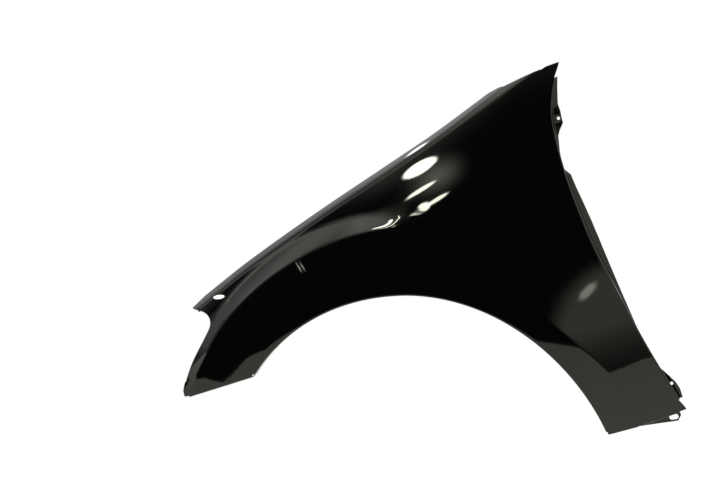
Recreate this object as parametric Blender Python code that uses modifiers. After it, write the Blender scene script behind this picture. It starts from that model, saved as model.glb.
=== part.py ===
# Front left fender of a passenger car: one sheet of steel, pressed and folded.
# The drawing's zero point is the wheel centre, +X runs to the rear, -Y points out
# of the car and +Z up. The finished panel is moved so that its main rail pad is at zero.

import math

import bpy
import bmesh
from mathutils import Matrix, Vector

# Sheet, metres
SHEET_THICKNESS = 0.0008
FOLD_RADIUS = 0.0025

# Wheel arch, a circle about the wheel centre, with its ends as angles from the rear
ARCH_RADIUS = 0.355
ARCH_FRONT_ANGLE = 125.75
ARCH_REAR_ANGLE = 2.45
ARCH_LIP_DEPTH = 0.017

# Outlines in side view, as x and z
HEADLAMP_EDGE = (
    (-0.3520, 0.2865),
    (-0.3618, 0.2900),
    (-0.3612, 0.3005),
    (-0.3295, 0.3410),
    (-0.2800, 0.3855),
    (-0.2710, 0.3970),
    (-0.2728, 0.4105),
    (-0.2870, 0.4225),
    (-0.3130, 0.4310),
)
HOOD_LINE = (
    (-0.2850, 0.4435),
    (-0.1770, 0.4760),
    (-0.0230, 0.5150),
    (0.1320, 0.5505),
    (0.2320, 0.5735),
    (0.3430, 0.6038),
)
PILLAR_POINT = (0.4790, 0.6110)
PILLAR_BOW = 0.0032
REAR_EDGE = (
    (0.6110, 0.4790),
    (0.5630, 0.4532),
    (0.5250, 0.4412),
    (0.4430, 0.4352),
    (0.3650, 0.4375),
    (0.3120, 0.4415),
    (0.2520, 0.4500),
    (0.1260, 0.4695),
    (0.0134, 0.4905),
)

# Corner of the lower edge: its share of the run from the arch to the rear corner, and its height
ROCKER_KINK_SHARE = 0.3764
ROCKER_KINK_HEIGHT = 0.0105

# How the side bows inboard: towards the nose, and above and below its widest level
PLAN_DEPTH = 0.112
PLAN_POWER = 2.2
WAIST_HEIGHT = 0.150
LOWER_BOW_RADIUS = 0.90
UPPER_BOW_RADIUS = 1.15

# Shoulder under the hood line, and the narrow shelf where it turns to meet the hood
SHOULDER_DEPTH = 0.030
SHOULDER_RUN = 0.125
SHOULDER_POWER = 2.2
SHOULDER_FADE_START = 0.12
SHOULDER_FADE_END = 0.42
SHOULDER_FADE_SHARE = 0.75
SHELF_WIDTH = 0.014
SHELF_SLOPE = 1.9
SHELF_SOFTNESS = 0.004

# Flare round the arch: angle, distance of its crest from the arch, width and height of its ledge
FLARE = (
    (-5.0, 0.051, 0.110, 0.012),
    (20.0, 0.051, 0.110, 0.011),
    (37.0, 0.044, 0.105, 0.009),
    (48.0, 0.078, 0.095, 0.007),
    (60.0, 0.114, 0.070, 0.007),
    (70.0, 0.116, 0.040, 0.009),
    (76.0, 0.113, 0.022, 0.014),
    (84.0, 0.109, 0.027, 0.019),
    (95.0, 0.101, 0.035, 0.022),
    (110.0, 0.100, 0.030, 0.021),
    (123.0, 0.101, 0.025, 0.017),
    (132.0, 0.097, 0.026, 0.011),
    (142.0, 0.100, 0.026, 0.003),
)
CREST_SOFTNESS = 0.004
ROOT_SOFTNESS = 0.006

# Rail flange under the hood line: a wall down to a ledge with four level pads
RAIL_PADS = (-0.250, -0.075, 0.105, 0.280)
MAIN_PAD = 1
PAD_LENGTH = 0.030
RAIL_DROP = 0.034
RAIL_WALL_LEAN = 8.0
RAIL_LEDGE_WIDTH = 0.026
RAIL_HOLE_RADIUS = 0.0038
SCALLOP_DEPTH = 0.013
SCALLOP_MARGIN = 0.008
PAD_REST_OFFSET = 0.0095

# Rear flange by height: lean of its wall from straight inboard, height of its wall, width of its ledge
REAR_FLANGE = (
    (0.588, 0.0, 0.004, 0.0010),
    (0.575, 0.0, 0.004, 0.0042),
    (0.560, 0.0, 0.004, 0.0072),
    (0.547, 0.0, 0.004, 0.0088),
    (0.533, 0.0, 0.004, 0.0112),
    (0.515, 0.0, 0.010, 0.0116),
    (0.507, 0.0, 0.007, 0.0068),
    (0.497, 0.0, 0.004, 0.0022),
    (0.473, -32.0, 0.004, 0.0010),
    (0.449, -35.0, 0.007, 0.0010),
    (0.441, -15.0, 0.014, 0.0010),
    (0.432, 0.0, 0.014, 0.0037),
    (0.385, 0.0, 0.014, 0.0073),
    (0.350, 0.0, 0.014, 0.0091),
    (0.320, 0.0, 0.014, 0.0089),
    (0.290, 0.0, 0.014, 0.0068),
    (0.260, 0.0, 0.014, 0.0041),
    (0.230, 0.0, 0.012, 0.0017),
    (0.200, -8.0, 0.012, 0.0010),
    (0.160, -24.0, 0.012, 0.0010),
    (0.120, -36.0, 0.012, 0.0010),
)
PILLAR_TAB_ROWS = (4, 5)
PILLAR_TAB_STANDOFF = 0.0080
PILLAR_TAB_HOLE_RADIUS = 0.0027

# The ledge turns inboard by this angle, apart from its tab and its ear
LEDGE_LEAN = 30.0

# Lower ear of the rear flange, by height, where the sheet doubles back and runs out again
REAR_EAR = (
    (0.098, 0.0015),
    (0.086, 0.0060),
    (0.073, 0.0095),
    (0.060, 0.0122),
    (0.048, 0.0113),
    (0.040, 0.0085),
    (0.033, 0.0058),
)
EAR_LEAN = -45.0
EAR_STANDOFF = 0.0098
EAR_HOLE_ROW = 3
EAR_HOLE_REACH = 0.0050
EAR_HOLE_RADIUS = 0.0027

# Rocker lug: its lower edge and its slot, with shares of the same run for places along it
LUG_SHARES = (0.3985, 0.6273, 0.8339, 0.8635, 0.9077)
LUG_HEIGHTS = (0.0085, 0.0033, -0.0014, -0.0012, 0.0060)
LUG_LEAN = 45.0
LUG_STANDOFF = 0.0045
SLOT_SHARE = 0.8155
SLOT_HEIGHT = 0.0062
SLOT_LENGTH = 0.0150
SLOT_WIDTH = 0.0086
SLOT_TILT = 9.5

# Plain flanges
HEADLAMP_FLANGE_DEPTH = 0.014
HEADLAMP_HOLE_STATION = 5
HEADLAMP_HOLE_RADIUS = 0.0024
BUMPER_FLANGE_DEPTH = 0.018
BUMPER_HOLES = (-0.318, -0.252)
BUMPER_HOLE_RADIUS = 0.0030
ROCKER_FLANGE_DEPTH = 0.012
PILLAR_FLANGE_DEPTH = 0.016
PILLAR_FLANGE_DROP = 20.0
CLIP_HOLE_ANGLES = (18.0, 42.0, 66.0, 90.0, 114.0)
CLIP_HOLE_RADIUS = 0.0028

# Mesh density
FACE_ROWS = 6
BODY_ROWS = 6
NOSE_STATIONS = 3
HEADLAMP_STATIONS = 9
PILLAR_STATIONS = 4
RAIL_SPACING = 0.030
FOLD_STEP_ANGLE = 45.0
ROUND_STEPS = 16
LEAST_ROW = 0.0012
EDGE_BAND = 0.010
LEDGE_SHARE = 0.4

# Corners are left open over this length, so that the flanges beside them can fold
CORNER_RELIEF = 0.006

# Angles at the arch of the columns that end at the corners of the outline
HEADLAMP_ANGLE = 110.0
HOOD_ANGLE = 68.0
PILLAR_ANGLE = 61.0
BOWED_HOOD_SHARE = 0.4

# How deep the cutters reach through the sheet
HOLE_CUT = 0.006
SLOT_CUT = 0.003
SCALLOP_CUT = 0.030

PAINT_COLOUR = (0.004, 0.004, 0.005, 1.0)
PAINT_ROUGHNESS = 0.06
SHARP_ANGLE = 50.0

REARWARD = Vector((1.0, 0.0, 0.0))
INBOARD = Vector((0.0, 1.0, 0.0))
UPWARD = Vector((0.0, 0.0, 1.0))


def smooth_step(low, high, value):
    """Rise from 0 to 1 between low and high."""
    share = min(max((value - low) / (high - low), 0.0), 1.0)
    return share * share * (3.0 - 2.0 * share)


def soft_ramp(distance, softness):
    """Zero before zero and rising at slope one after it, with a rounded corner."""
    if distance <= -softness:
        return 0.0
    if distance >= softness:
        return distance
    return (distance + softness) ** 2 / (4.0 * softness)


def interpolate(table, at):
    """Values of a table at a key, on a smooth curve through its rows."""
    rows = sorted(table)
    last = len(rows) - 1
    index = max(i for i in range(last) if i == 0 or rows[i][0] <= at)
    low, high = rows[index], rows[index + 1]
    span = high[0] - low[0]
    share = (at - low[0]) / span

    def slope(i, k):
        before, after = rows[max(i - 1, 0)], rows[min(i + 1, last)]
        return (after[k] - before[k]) / (after[0] - before[0])

    values = []
    for k in range(1, len(low)):
        if share < 0.0:
            values.append(low[k] + slope(0, k) * (at - low[0]))
        elif share > 1.0:
            values.append(high[k] + slope(last, k) * (at - high[0]))
        else:
            start, end = slope(index, k) * span, slope(index + 1, k) * span
            rise = high[k] - low[k]
            values.append(low[k] + share * (start + share * (
                3.0 * rise - 2.0 * start - end + share * (start + end - 2.0 * rise))))
    return values


def hood_height(x):
    """Height of the hood line, carried on straight past its ends."""
    return interpolate(HOOD_LINE, x)[0]


def below_hood(x, z):
    """Distance of a point below the hood line, square to it."""
    (front_x, front_z), (rear_x, rear_z) = HOOD_LINE[0], HOOD_LINE[-1]
    length = math.hypot(rear_x - front_x, rear_z - front_z)
    return (hood_height(x) - z) * (rear_x - front_x) / length


def past_crest(x, z):
    """Distance of a point beyond the flare's crest, and the ledge's width and height there."""
    crest, width, height = interpolate(FLARE, math.degrees(math.atan2(z, x)))
    return math.hypot(x, z) - ARCH_RADIUS - crest, width, height


def side_depth(x, z):
    """How far inboard the outer face lies at a point of the side view."""
    rear_x, nose_x = REAR_EDGE[-1][1], HEADLAMP_EDGE[1][0]
    towards_nose = max((rear_x - x) / (rear_x - nose_x), 0.0)
    depth = PLAN_DEPTH * towards_nose ** PLAN_POWER
    above = z - WAIST_HEIGHT
    depth += above * above / (2.0 * (UPPER_BOW_RADIUS if above > 0.0 else LOWER_BOW_RADIUS))
    below = below_hood(x, z)
    fade = 1.0 - SHOULDER_FADE_SHARE * smooth_step(SHOULDER_FADE_START, SHOULDER_FADE_END, x)
    closeness = max(1.0 - (below - SHELF_WIDTH) / SHOULDER_RUN, 0.0)
    depth += SHOULDER_DEPTH * fade * min(closeness, 1.3) ** SHOULDER_POWER
    depth += SHELF_SLOPE * soft_ramp(SHELF_WIDTH - below, SHELF_SOFTNESS)
    beyond, width, height = past_crest(x, z)
    fall = soft_ramp(beyond, CREST_SOFTNESS) - soft_ramp(beyond - width, ROOT_SOFTNESS)
    return depth - height * (1.0 - fall / width)


def on_face(x, z):
    """Point of the outer face."""
    return Vector((x, side_depth(x, z), z))


def face_tangent(x, z, direction):
    """Unit vector along the face, over a direction of the side view."""
    reach = 0.0005
    ahead = on_face(x + direction[0] * reach, z + direction[1] * reach)
    return (ahead - on_face(x, z)).normalized()


def arch_point(angle):
    """Point of the arch's edge, a fold's radius above the folded lip."""
    radius = ARCH_RADIUS + FOLD_RADIUS
    return radius * math.cos(math.radians(angle)), radius * math.sin(math.radians(angle))


def chord_table(points):
    """Points of an outline keyed by the distance travelled along it."""
    table, travelled = [], 0.0
    for index, point in enumerate(points):
        if index:
            travelled += math.dist(points[index - 1], point)
        table.append((travelled, *point))
    return table


def headlamp_outline():
    """Stations of the headlamp edge: the nose's own points, then even steps to the hood's corner."""
    table = chord_table(HEADLAMP_EDGE)
    start, end = table[NOSE_STATIONS - 1][0], table[-1][0] - CORNER_RELIEF
    stations = [list(point) for point in HEADLAMP_EDGE[:NOSE_STATIONS]]
    for i in range(1, HEADLAMP_STATIONS + 1):
        stations.append(interpolate(table, start + (end - start) * i / HEADLAMP_STATIONS))
    return stations + [list(HEADLAMP_EDGE[-1])]


def hood_stations():
    """Places along the hood line: both ends of each pad, and even steps between pads."""
    marks = [HEADLAMP_EDGE[-1][0] + CORNER_RELIEF]
    for pad in RAIL_PADS:
        marks += [pad - PAD_LENGTH / 2.0, pad + PAD_LENGTH / 2.0]
    marks.append(HOOD_LINE[-1][0] - CORNER_RELIEF)
    places = []
    for start, end in zip(marks, marks[1:]):
        steps = max(round((end - start) / RAIL_SPACING), 1)
        places += [start + (end - start) * i / steps for i in range(steps)]
    return places + [marks[-1], HOOD_LINE[-1][0]]


def hood_outline():
    """Stations of the hood line, starting from the corner over the headlamp."""
    corner_x, corner_z = HEADLAMP_EDGE[-1]
    first_x, first_z = HOOD_LINE[0]
    stations = []
    for x in hood_stations():
        height = hood_height(x)
        if x < first_x:
            share = (x - corner_x) / (first_x - corner_x)
            height = corner_z + (first_z - corner_z) * share
        stations.append([x, height])
    return stations


def pillar_outline():
    """Stations from the hood's rear corner to the point by the pillar."""
    start, end = HOOD_LINE[-1], PILLAR_POINT
    stations = []
    for i in range(1, PILLAR_STATIONS + 1):
        share = i / PILLAR_STATIONS
        rise = 4.0 * PILLAR_BOW * share * (1.0 - share)
        x = start[0] + (end[0] - start[0]) * share
        stations.append([x, start[1] + (end[1] - start[1]) * share + rise])
    return stations


def rear_levels():
    """Heights of the columns that end at the rear edge."""
    bottom, top = REAR_EDGE[-1][0], REAR_EDGE[0][0]
    levels = [row[0] for row in REAR_FLANGE] + [row[0] for row in REAR_EAR]
    return sorted(levels + [top - CORNER_RELIEF, bottom + CORNER_RELIEF, bottom], reverse=True)


def rear_outline():
    """Stations of the rear edge, from the pillar's point down to the rocker."""
    return [[interpolate(REAR_EDGE, level)[0], level] for level in rear_levels()]


def set_back(stations, first, last):
    """Move part of an outline back by the fold's radius, so that its fold ends on the outline."""
    moved = [list(station) for station in stations]
    for i in range(first, len(stations) - last):
        before, after = stations[max(i - 1, 0)], stations[min(i + 1, len(stations) - 1)]
        along = Vector((after[0] - before[0], after[1] - before[1])).normalized()
        moved[i] = [stations[i][0] + along[1] * FOLD_RADIUS, stations[i][1] - along[0] * FOLD_RADIUS]
    return moved


def bow_of(edge, share):
    """How far a column bows to reach the hood's front corner between its two edges."""
    if edge == "headlamp":
        return share
    return max(1.0 - share / BOWED_HOOD_SHARE, 0.0) if edge == "hood" else 0.0


def lower_edge_x(share):
    """Place along the lower edge, from the arch to the rear corner."""
    return ARCH_RADIUS + (REAR_EDGE[-1][1] - ARCH_RADIUS) * share


def columns():
    """Every column of the grid: where it ends, on which edge, its arch angle and its bend."""
    edges = (
        ("headlamp", set_back(headlamp_outline(), NOSE_STATIONS, 2), ARCH_FRONT_ANGLE, HEADLAMP_ANGLE),
        ("hood", hood_outline(), HEADLAMP_ANGLE, HOOD_ANGLE),
        ("pillar", set_back(pillar_outline(), 0, 2), HOOD_ANGLE, PILLAR_ANGLE),
        ("rear", set_back(rear_outline(), 1, 2), PILLAR_ANGLE, ARCH_REAR_ANGLE),
    )
    result = []
    for name, stations, first_angle, last_angle in edges:
        points = [result[-1]["end"]] + stations if result else stations
        table = chord_table(points)
        for (travelled, *_), point in zip(table[len(points) - len(stations):], stations):
            share = travelled / table[-1][0]
            angle = first_angle + (last_angle - first_angle) * share
            column = {"edge": name, "end": point, "angle": angle, "bow": bow_of(name, share), "via": None}
            result.append(column)
    rear = [column for column in result if column["edge"] == "rear"]
    for column, level in zip(rear, rear_levels()):
        column["level"] = level
    result[0]["end"][1] += FOLD_RADIUS
    result[-1]["via"] = (lower_edge_x(ROCKER_KINK_SHARE), ROCKER_KINK_HEIGHT + FOLD_RADIUS)
    return result


def crossing(path, test):
    """Share of a path where a test of the side view first turns positive."""
    low, high = 0.0, 1.0
    if test(*path(high)) < 0.0:
        return 1.0
    for _ in range(30):
        middle = (low + high) / 2.0
        low, high = (low, middle) if test(*path(middle)) > 0.0 else (middle, high)
    return high


def column_path(column):
    """Path in side view from the arch to the column's end, and its straight length."""
    start, end, via = arch_point(column["angle"]), column["end"], column["via"]
    length = math.dist(start, end)
    hub_distance = math.hypot(*start)
    leaving = [value * (1.0 + 0.5 * length / hub_distance) for value in start]
    middle = [(a + b) / 2.0 for a, b in zip(start, end)]
    guide = [m + (out - m) * column["bow"] for m, out in zip(middle, leaving)]

    def path(share):
        if via:
            bend = (via[0] - start[0]) / (end[0] - start[0])
            if share < bend:
                return tuple(a + (b - a) * share / bend for a, b in zip(start, via))
            return tuple(a + (b - a) * (share - bend) / (1.0 - bend) for a, b in zip(via, end))
        rest = 1.0 - share
        return tuple(rest * rest * a + 2.0 * rest * share * g + share * share * b
                     for a, g, b in zip(start, guide, end))

    return path, length


def column_points(column):
    """Points of one column on the outer face, with rows along the crest, the root and the shelf."""
    path, length = column_path(column)
    crest = crossing(path, lambda x, z: past_crest(x, z)[0]) * length
    root = crossing(path, lambda x, z: past_crest(x, z)[0] - past_crest(x, z)[1]) * length
    shelf = crossing(path, lambda x, z: SHELF_WIDTH - below_hood(x, z)) * length
    if shelf > length - EDGE_BAND:
        shelf = length - EDGE_BAND
    if root > shelf - EDGE_BAND:
        root = crest + (shelf - crest) * LEDGE_SHARE
    places = [(crest - CREST_SOFTNESS) * i / FACE_ROWS for i in range(FACE_ROWS)]
    places += [crest - CREST_SOFTNESS, crest, crest + CREST_SOFTNESS]
    places += [root - ROOT_SOFTNESS, root + ROOT_SOFTNESS]
    first, last = root + ROOT_SOFTNESS, shelf - SHELF_SOFTNESS
    places += [first + (last - first) * i / BODY_ROWS for i in range(1, BODY_ROWS + 1)]
    places += [shelf + SHELF_SOFTNESS, length]
    for index in range(1, len(places)):
        places[index] = max(places[index], places[index - 1] + LEAST_ROW)
    for index in range(len(places)):
        places[index] = min(places[index], length - LEAST_ROW * (len(places) - 1 - index))
    return [on_face(*path(place / length)) for place in places]


def fold_point(start, heading, direction, share):
    """Point reached after a share of the fold that turns one direction into another."""
    side = (direction - direction.dot(heading) * heading).normalized()
    turn = heading.angle(direction) * share
    return start + (heading * math.sin(turn) + side * (1.0 - math.cos(turn))) * FOLD_RADIUS


def fold(mesh, edge, headings, legs):
    """Fold a flange off a run of vertices and return its rows of vertices.

    Each leg gives, for every vertex, the direction it runs in and its length. The sheet
    turns into it on the fold radius."""
    rows = [edge]
    for directions, lengths in legs:
        starts = [vertex.co.copy() for vertex in rows[-1]]
        sharpest = max(math.degrees(a.angle(b)) for a, b in zip(headings, directions))
        steps = max(round(sharpest / FOLD_STEP_ANGLE), 1)
        for step in range(1, steps + 1):
            rows.append([mesh.verts.new(fold_point(start, heading, direction, step / steps))
                         for start, heading, direction in zip(starts, headings, directions)])
        rows.append([mesh.verts.new(vertex.co + direction * length)
                     for vertex, direction, length in zip(rows[-1], directions, lengths)])
        headings = directions
    for near, far in zip(rows, rows[1:]):
        for i in range(len(near) - 1):
            mesh.faces.new((near[i], near[i + 1], far[i + 1], far[i]))
    return rows


def after_leg(start, heading, direction, length, following):
    """Point where the sheet has folded into the leg that follows a leg of some length."""
    turned = fold_point(start, heading, direction, 1.0)
    return fold_point(turned + direction * length, direction, following, 1.0)


def leg_to_plane(start, heading, direction, following, axis, level):
    """Length of a leg after which the leg that follows it lies at a level of one axis."""
    return (level - after_leg(start, heading, direction, 0.0, following)[axis]) / direction[axis]


def leaning(angle, along, across):
    """Unit vector that leans from one direction towards another by an angle."""
    turn = math.radians(angle)
    return along * math.cos(turn) + across * math.sin(turn)


def same(value, run):
    """One value for every vertex of a run."""
    return [value] * len(run)


def headings_of(edge, direction):
    """How the face runs on at each vertex, over a direction of the side view."""
    return [face_tangent(vertex.co.x, vertex.co.z, direction) for vertex in edge]


def rail_height(x):
    """Height of the rail ledge: level on each pad and straight between pads."""
    marks = []
    for pad in RAIL_PADS:
        level = hood_height(pad) - RAIL_DROP
        marks += [(pad - PAD_LENGTH / 2.0, level), (pad + PAD_LENGTH / 2.0, level)]
    if x <= marks[0][0]:
        return marks[0][1]
    for (low_x, low_z), (high_x, high_z) in zip(marks, marks[1:]):
        if x <= high_x:
            return low_z + (high_z - low_z) * (x - low_x) / (high_x - low_x)
    return marks[-1][1]


def centre_of(points):
    """Mean of some points."""
    return sum(points, Vector()) / len(points)


def ends_on(listing, name):
    """Numbers of the columns that end on one edge of the outline."""
    return [i for i, column in enumerate(listing) if column["edge"] == name]


def build_skin(mesh, listing):
    """The outer face, as a grid of vertices from the arch to the outline."""
    grid = [[mesh.verts.new(point) for point in column_points(column)] for column in listing]
    for left, right in zip(grid, grid[1:]):
        for i in range(len(left) - 1):
            mesh.faces.new((left[i], left[i + 1], right[i + 1], right[i]))
    return grid


def build_arch_lip(mesh, listing, grid):
    """Lip folded inboard all round the wheel arch, with its ends left open."""
    edge = [column[0] for column in grid[1:-1]]
    headings = []
    for column, vertex in zip(listing[1:-1], edge):
        angle = math.radians(column["angle"])
        headings.append(face_tangent(vertex.co.x, vertex.co.z, (-math.cos(angle), -math.sin(angle))))
    rows = fold(mesh, edge, headings, [(same(INBOARD, edge), same(ARCH_LIP_DEPTH, edge))])
    middles = [(near.co + far.co) / 2.0 for near, far in zip(rows[-2], rows[-1])]
    holes = []
    for angle in CLIP_HOLE_ANGLES:
        outward = leaning(angle, REARWARD, UPWARD)
        nearest = min(middles, key=lambda point: point.angle(outward))
        holes.append((Vector((0.0, nearest.y, 0.0)) + outward * ARCH_RADIUS, outward, CLIP_HOLE_RADIUS))
    return holes


def build_rail(mesh, listing, grid):
    """Wall and ledge under the hood line, with its pads and their bolt holes."""
    edge = [grid[i][-1] for i in ends_on(listing, "hood")[:-1]]
    headings = headings_of(edge, (0.0, 1.0))
    down = leaning(RAIL_WALL_LEAN, -UPWARD, INBOARD)
    drops = [leg_to_plane(vertex.co, heading, down, INBOARD, 2, rail_height(vertex.co.x))
             for vertex, heading in zip(edge, headings)]
    legs = [(same(down, edge), drops), (same(INBOARD, edge), same(RAIL_LEDGE_WIDTH, edge))]
    near, far = fold(mesh, edge, headings, legs)[-2:]
    pads = []
    for pad in RAIL_PADS:
        picked = [i for i, vertex in enumerate(near) if abs(vertex.co.x - pad) < PAD_LENGTH * 0.51]
        corners = [row[i].co.copy() for row in (near, far) for i in (picked[0], picked[-1])]
        pads.append(corners)
    return pads


def standing_in(x, z, standoff):
    """Place of a plane inboard of the outer face, beyond the two folds that lead to it."""
    return side_depth(x, z) + 2.0 * FOLD_RADIUS + standoff


def rear_plane(level, standoff):
    """Plane that stands inboard of the rear edge."""
    return standing_in(interpolate(REAR_EDGE, level)[0], level, standoff)


def build_rear_flange(mesh, listing, grid):
    """Door-side flange: a wall inboard and a ledge to the rear, then the lower ear."""
    walls = {row[0]: row[1:] for row in REAR_FLANGE}
    ears = dict(REAR_EAR)
    tab_levels = [REAR_FLANGE[row][0] for row in PILLAR_TAB_ROWS]
    tab_plane = rear_plane(sum(tab_levels) / len(tab_levels), PILLAR_TAB_STANDOFF)
    ear_level = REAR_EAR[EAR_HOLE_ROW][0]
    ear_plane = rear_plane(ear_level, EAR_STANDOFF)
    turned = leaning(LEDGE_LEAN, REARWARD, INBOARD)
    edge, levels, directions, heights, outward, widths = [], [], [], [], [], []
    for i in ends_on(listing, "rear"):
        level, vertex = listing[i]["level"], grid[i][-1]
        heading = face_tangent(vertex.co.x, vertex.co.z, (1.0, 0.0))
        if level in walls:
            lean, height, width = walls[level]
            direction = leaning(lean, INBOARD, REARWARD)
            if level in tab_levels:
                height = leg_to_plane(vertex.co, heading, direction, REARWARD, 1, tab_plane)
        elif level in ears:
            direction, width = leaning(EAR_LEAN, INBOARD, REARWARD), ears[level]
            height = leg_to_plane(vertex.co, heading, direction, REARWARD, 1, ear_plane)
        else:
            continue
        edge.append(vertex)
        levels.append(level)
        directions.append(direction)
        heights.append(height)
        outward.append(REARWARD if level in tab_levels or level in ears else turned)
        widths.append(width)
    legs = [(directions, heights), (outward, widths)]
    near, far = fold(mesh, edge, headings_of(edge, (1.0, 0.0)), legs)[-2:]
    tab = [row[levels.index(level)].co for row in (near, far) for level in tab_levels]
    ear = near[levels.index(ear_level)].co
    return [
        (centre_of(tab), INBOARD, PILLAR_TAB_HOLE_RADIUS),
        (ear + REARWARD * EAR_HOLE_REACH, INBOARD, EAR_HOLE_RADIUS),
    ]


def build_pillar_flange(mesh, listing, grid):
    """Flange of the short edge beside the pillar, clear of the pointed corner."""
    edge = [grid[i][-1] for i in ends_on(listing, "pillar")[:-1]]
    inward = leaning(PILLAR_FLANGE_DROP, INBOARD, -UPWARD)
    fold(mesh, edge, headings_of(edge, (0.0, 1.0)), [(same(inward, edge), same(PILLAR_FLANGE_DEPTH, edge))])


def build_headlamp_flange(mesh, listing, grid):
    """Flange behind the headlamp edge, clear of the nose and of the hood's corner."""
    picked = ends_on(listing, "headlamp")[NOSE_STATIONS:-2]
    edge = [grid[i][-1] for i in picked]
    headings = []
    for i in picked:
        before, after = grid[i - 1][-1].co, grid[i + 1][-1].co
        headings.append(face_tangent(*grid[i][-1].co.xz, (before.z - after.z, after.x - before.x)))
    headings = [heading.normalized() for heading in headings]
    rows = fold(mesh, edge, headings, [(same(INBOARD, edge), same(HEADLAMP_FLANGE_DEPTH, edge))])
    place = HEADLAMP_HOLE_STATION - NOSE_STATIONS
    centre = (rows[-2][place].co + rows[-1][place].co) / 2.0
    return [(centre, Vector((headings[place].x, 0.0, headings[place].z)).normalized(), HEADLAMP_HOLE_RADIUS)]


def build_bumper_flange(mesh, grid):
    """Level flange along the edge over the bumper."""
    edge = grid[0][:-1]
    legs = [(same(INBOARD, edge), same(BUMPER_FLANGE_DEPTH, edge))]
    near, far = fold(mesh, edge, headings_of(edge, (0.0, -1.0)), legs)[-2:]
    middles = [(a.co + b.co) / 2.0 for a, b in zip(near, far)]
    holes = []
    for x in BUMPER_HOLES:
        nearest = min(middles, key=lambda point: abs(point.x - x))
        holes.append((Vector((x, nearest.y, nearest.z)), UPWARD, BUMPER_HOLE_RADIUS))
    return holes


def lug_plane():
    """Plane of the lug, inboard of the lower edge."""
    return standing_in(lower_edge_x(SLOT_SHARE), SLOT_HEIGHT, LUG_STANDOFF)


def build_rocker_flange(mesh, grid):
    """Flange along the front of the lower edge, and the lug that hangs behind it."""
    lug = [(lower_edge_x(share), height) for share, height in zip(LUG_SHARES, LUG_HEIGHTS)]
    start, end = lug[0][0], lug[-1][0]
    edge = [vertex for vertex in grid[-1][:-1] if vertex.co.x < start]
    legs = [(same(INBOARD, edge), same(ROCKER_FLANGE_DEPTH, edge))]
    fold(mesh, edge, headings_of(edge, (0.0, -1.0)), legs)

    edge = [vertex for vertex in grid[-1][:-1] if start <= vertex.co.x <= end]
    headings = headings_of(edge, (0.0, -1.0))
    direction = leaning(LUG_LEAN, INBOARD, UPWARD)
    heights, drops = [], []
    for vertex, heading in zip(edge, headings):
        height = leg_to_plane(vertex.co, heading, direction, -UPWARD, 1, lug_plane())
        top = after_leg(vertex.co, heading, direction, height, -UPWARD).z
        heights.append(height)
        drops.append(top - interpolate(lug, vertex.co.x)[0])
    fold(mesh, edge, headings, [(same(direction, edge), heights), (same(-UPWARD, edge), drops)])


def make_object(name, mesh, collection):
    """Object made from a finished bmesh."""
    data = bpy.data.meshes.new(name)
    mesh.to_mesh(data)
    mesh.free()
    thing = bpy.data.objects.new(name, data)
    collection.objects.link(thing)
    return thing


def slot_cutter(name, centre, axis, along, size):
    """Cutter with round ends: its size is its length along one direction, its width and its depth."""
    length, width, depth = size
    axis = axis.normalized()
    across = axis.cross(along).normalized()
    along = across.cross(axis)
    radius, half = width / 2.0, (length - width) / 2.0
    mesh = bmesh.new()
    outline = []
    for step in range(ROUND_STEPS):
        turn = 2.0 * math.pi * (step + 0.5) / ROUND_STEPS
        shift = math.copysign(half, math.cos(turn))
        flat = along * (radius * math.cos(turn) + shift) + across * (radius * math.sin(turn))
        outline.append(mesh.verts.new(centre + flat - axis * (depth / 2.0)))
    base = mesh.faces.new(outline)
    raised = bmesh.ops.extrude_face_region(mesh, geom=[base])["geom"]
    tops = [item for item in raised if isinstance(item, bmesh.types.BMVert)]
    bmesh.ops.translate(mesh, verts=tops, vec=axis * depth)
    bmesh.ops.recalc_face_normals(mesh, faces=mesh.faces)
    cutter = make_object(name, mesh, cutters)
    cutter.hide_render = True
    cutter.display_type = "WIRE"
    return cutter


def cut(target, cutter):
    """Take a cutter away from the panel."""
    modifier = target.modifiers.new(cutter.name, "BOOLEAN")
    modifier.operation = "DIFFERENCE"
    modifier.solver = "EXACT"
    modifier.object = cutter


def paint_material():
    """Gloss black paint."""
    material = bpy.data.materials.new("gloss_black_paint")
    material.use_nodes = True
    shader = material.node_tree.nodes["Principled BSDF"]
    shader.inputs["Base Color"].default_value = PAINT_COLOUR
    shader.inputs["Roughness"].default_value = PAINT_ROUGHNESS
    shader.inputs["Coat Weight"].default_value = 1.0
    return material


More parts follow.
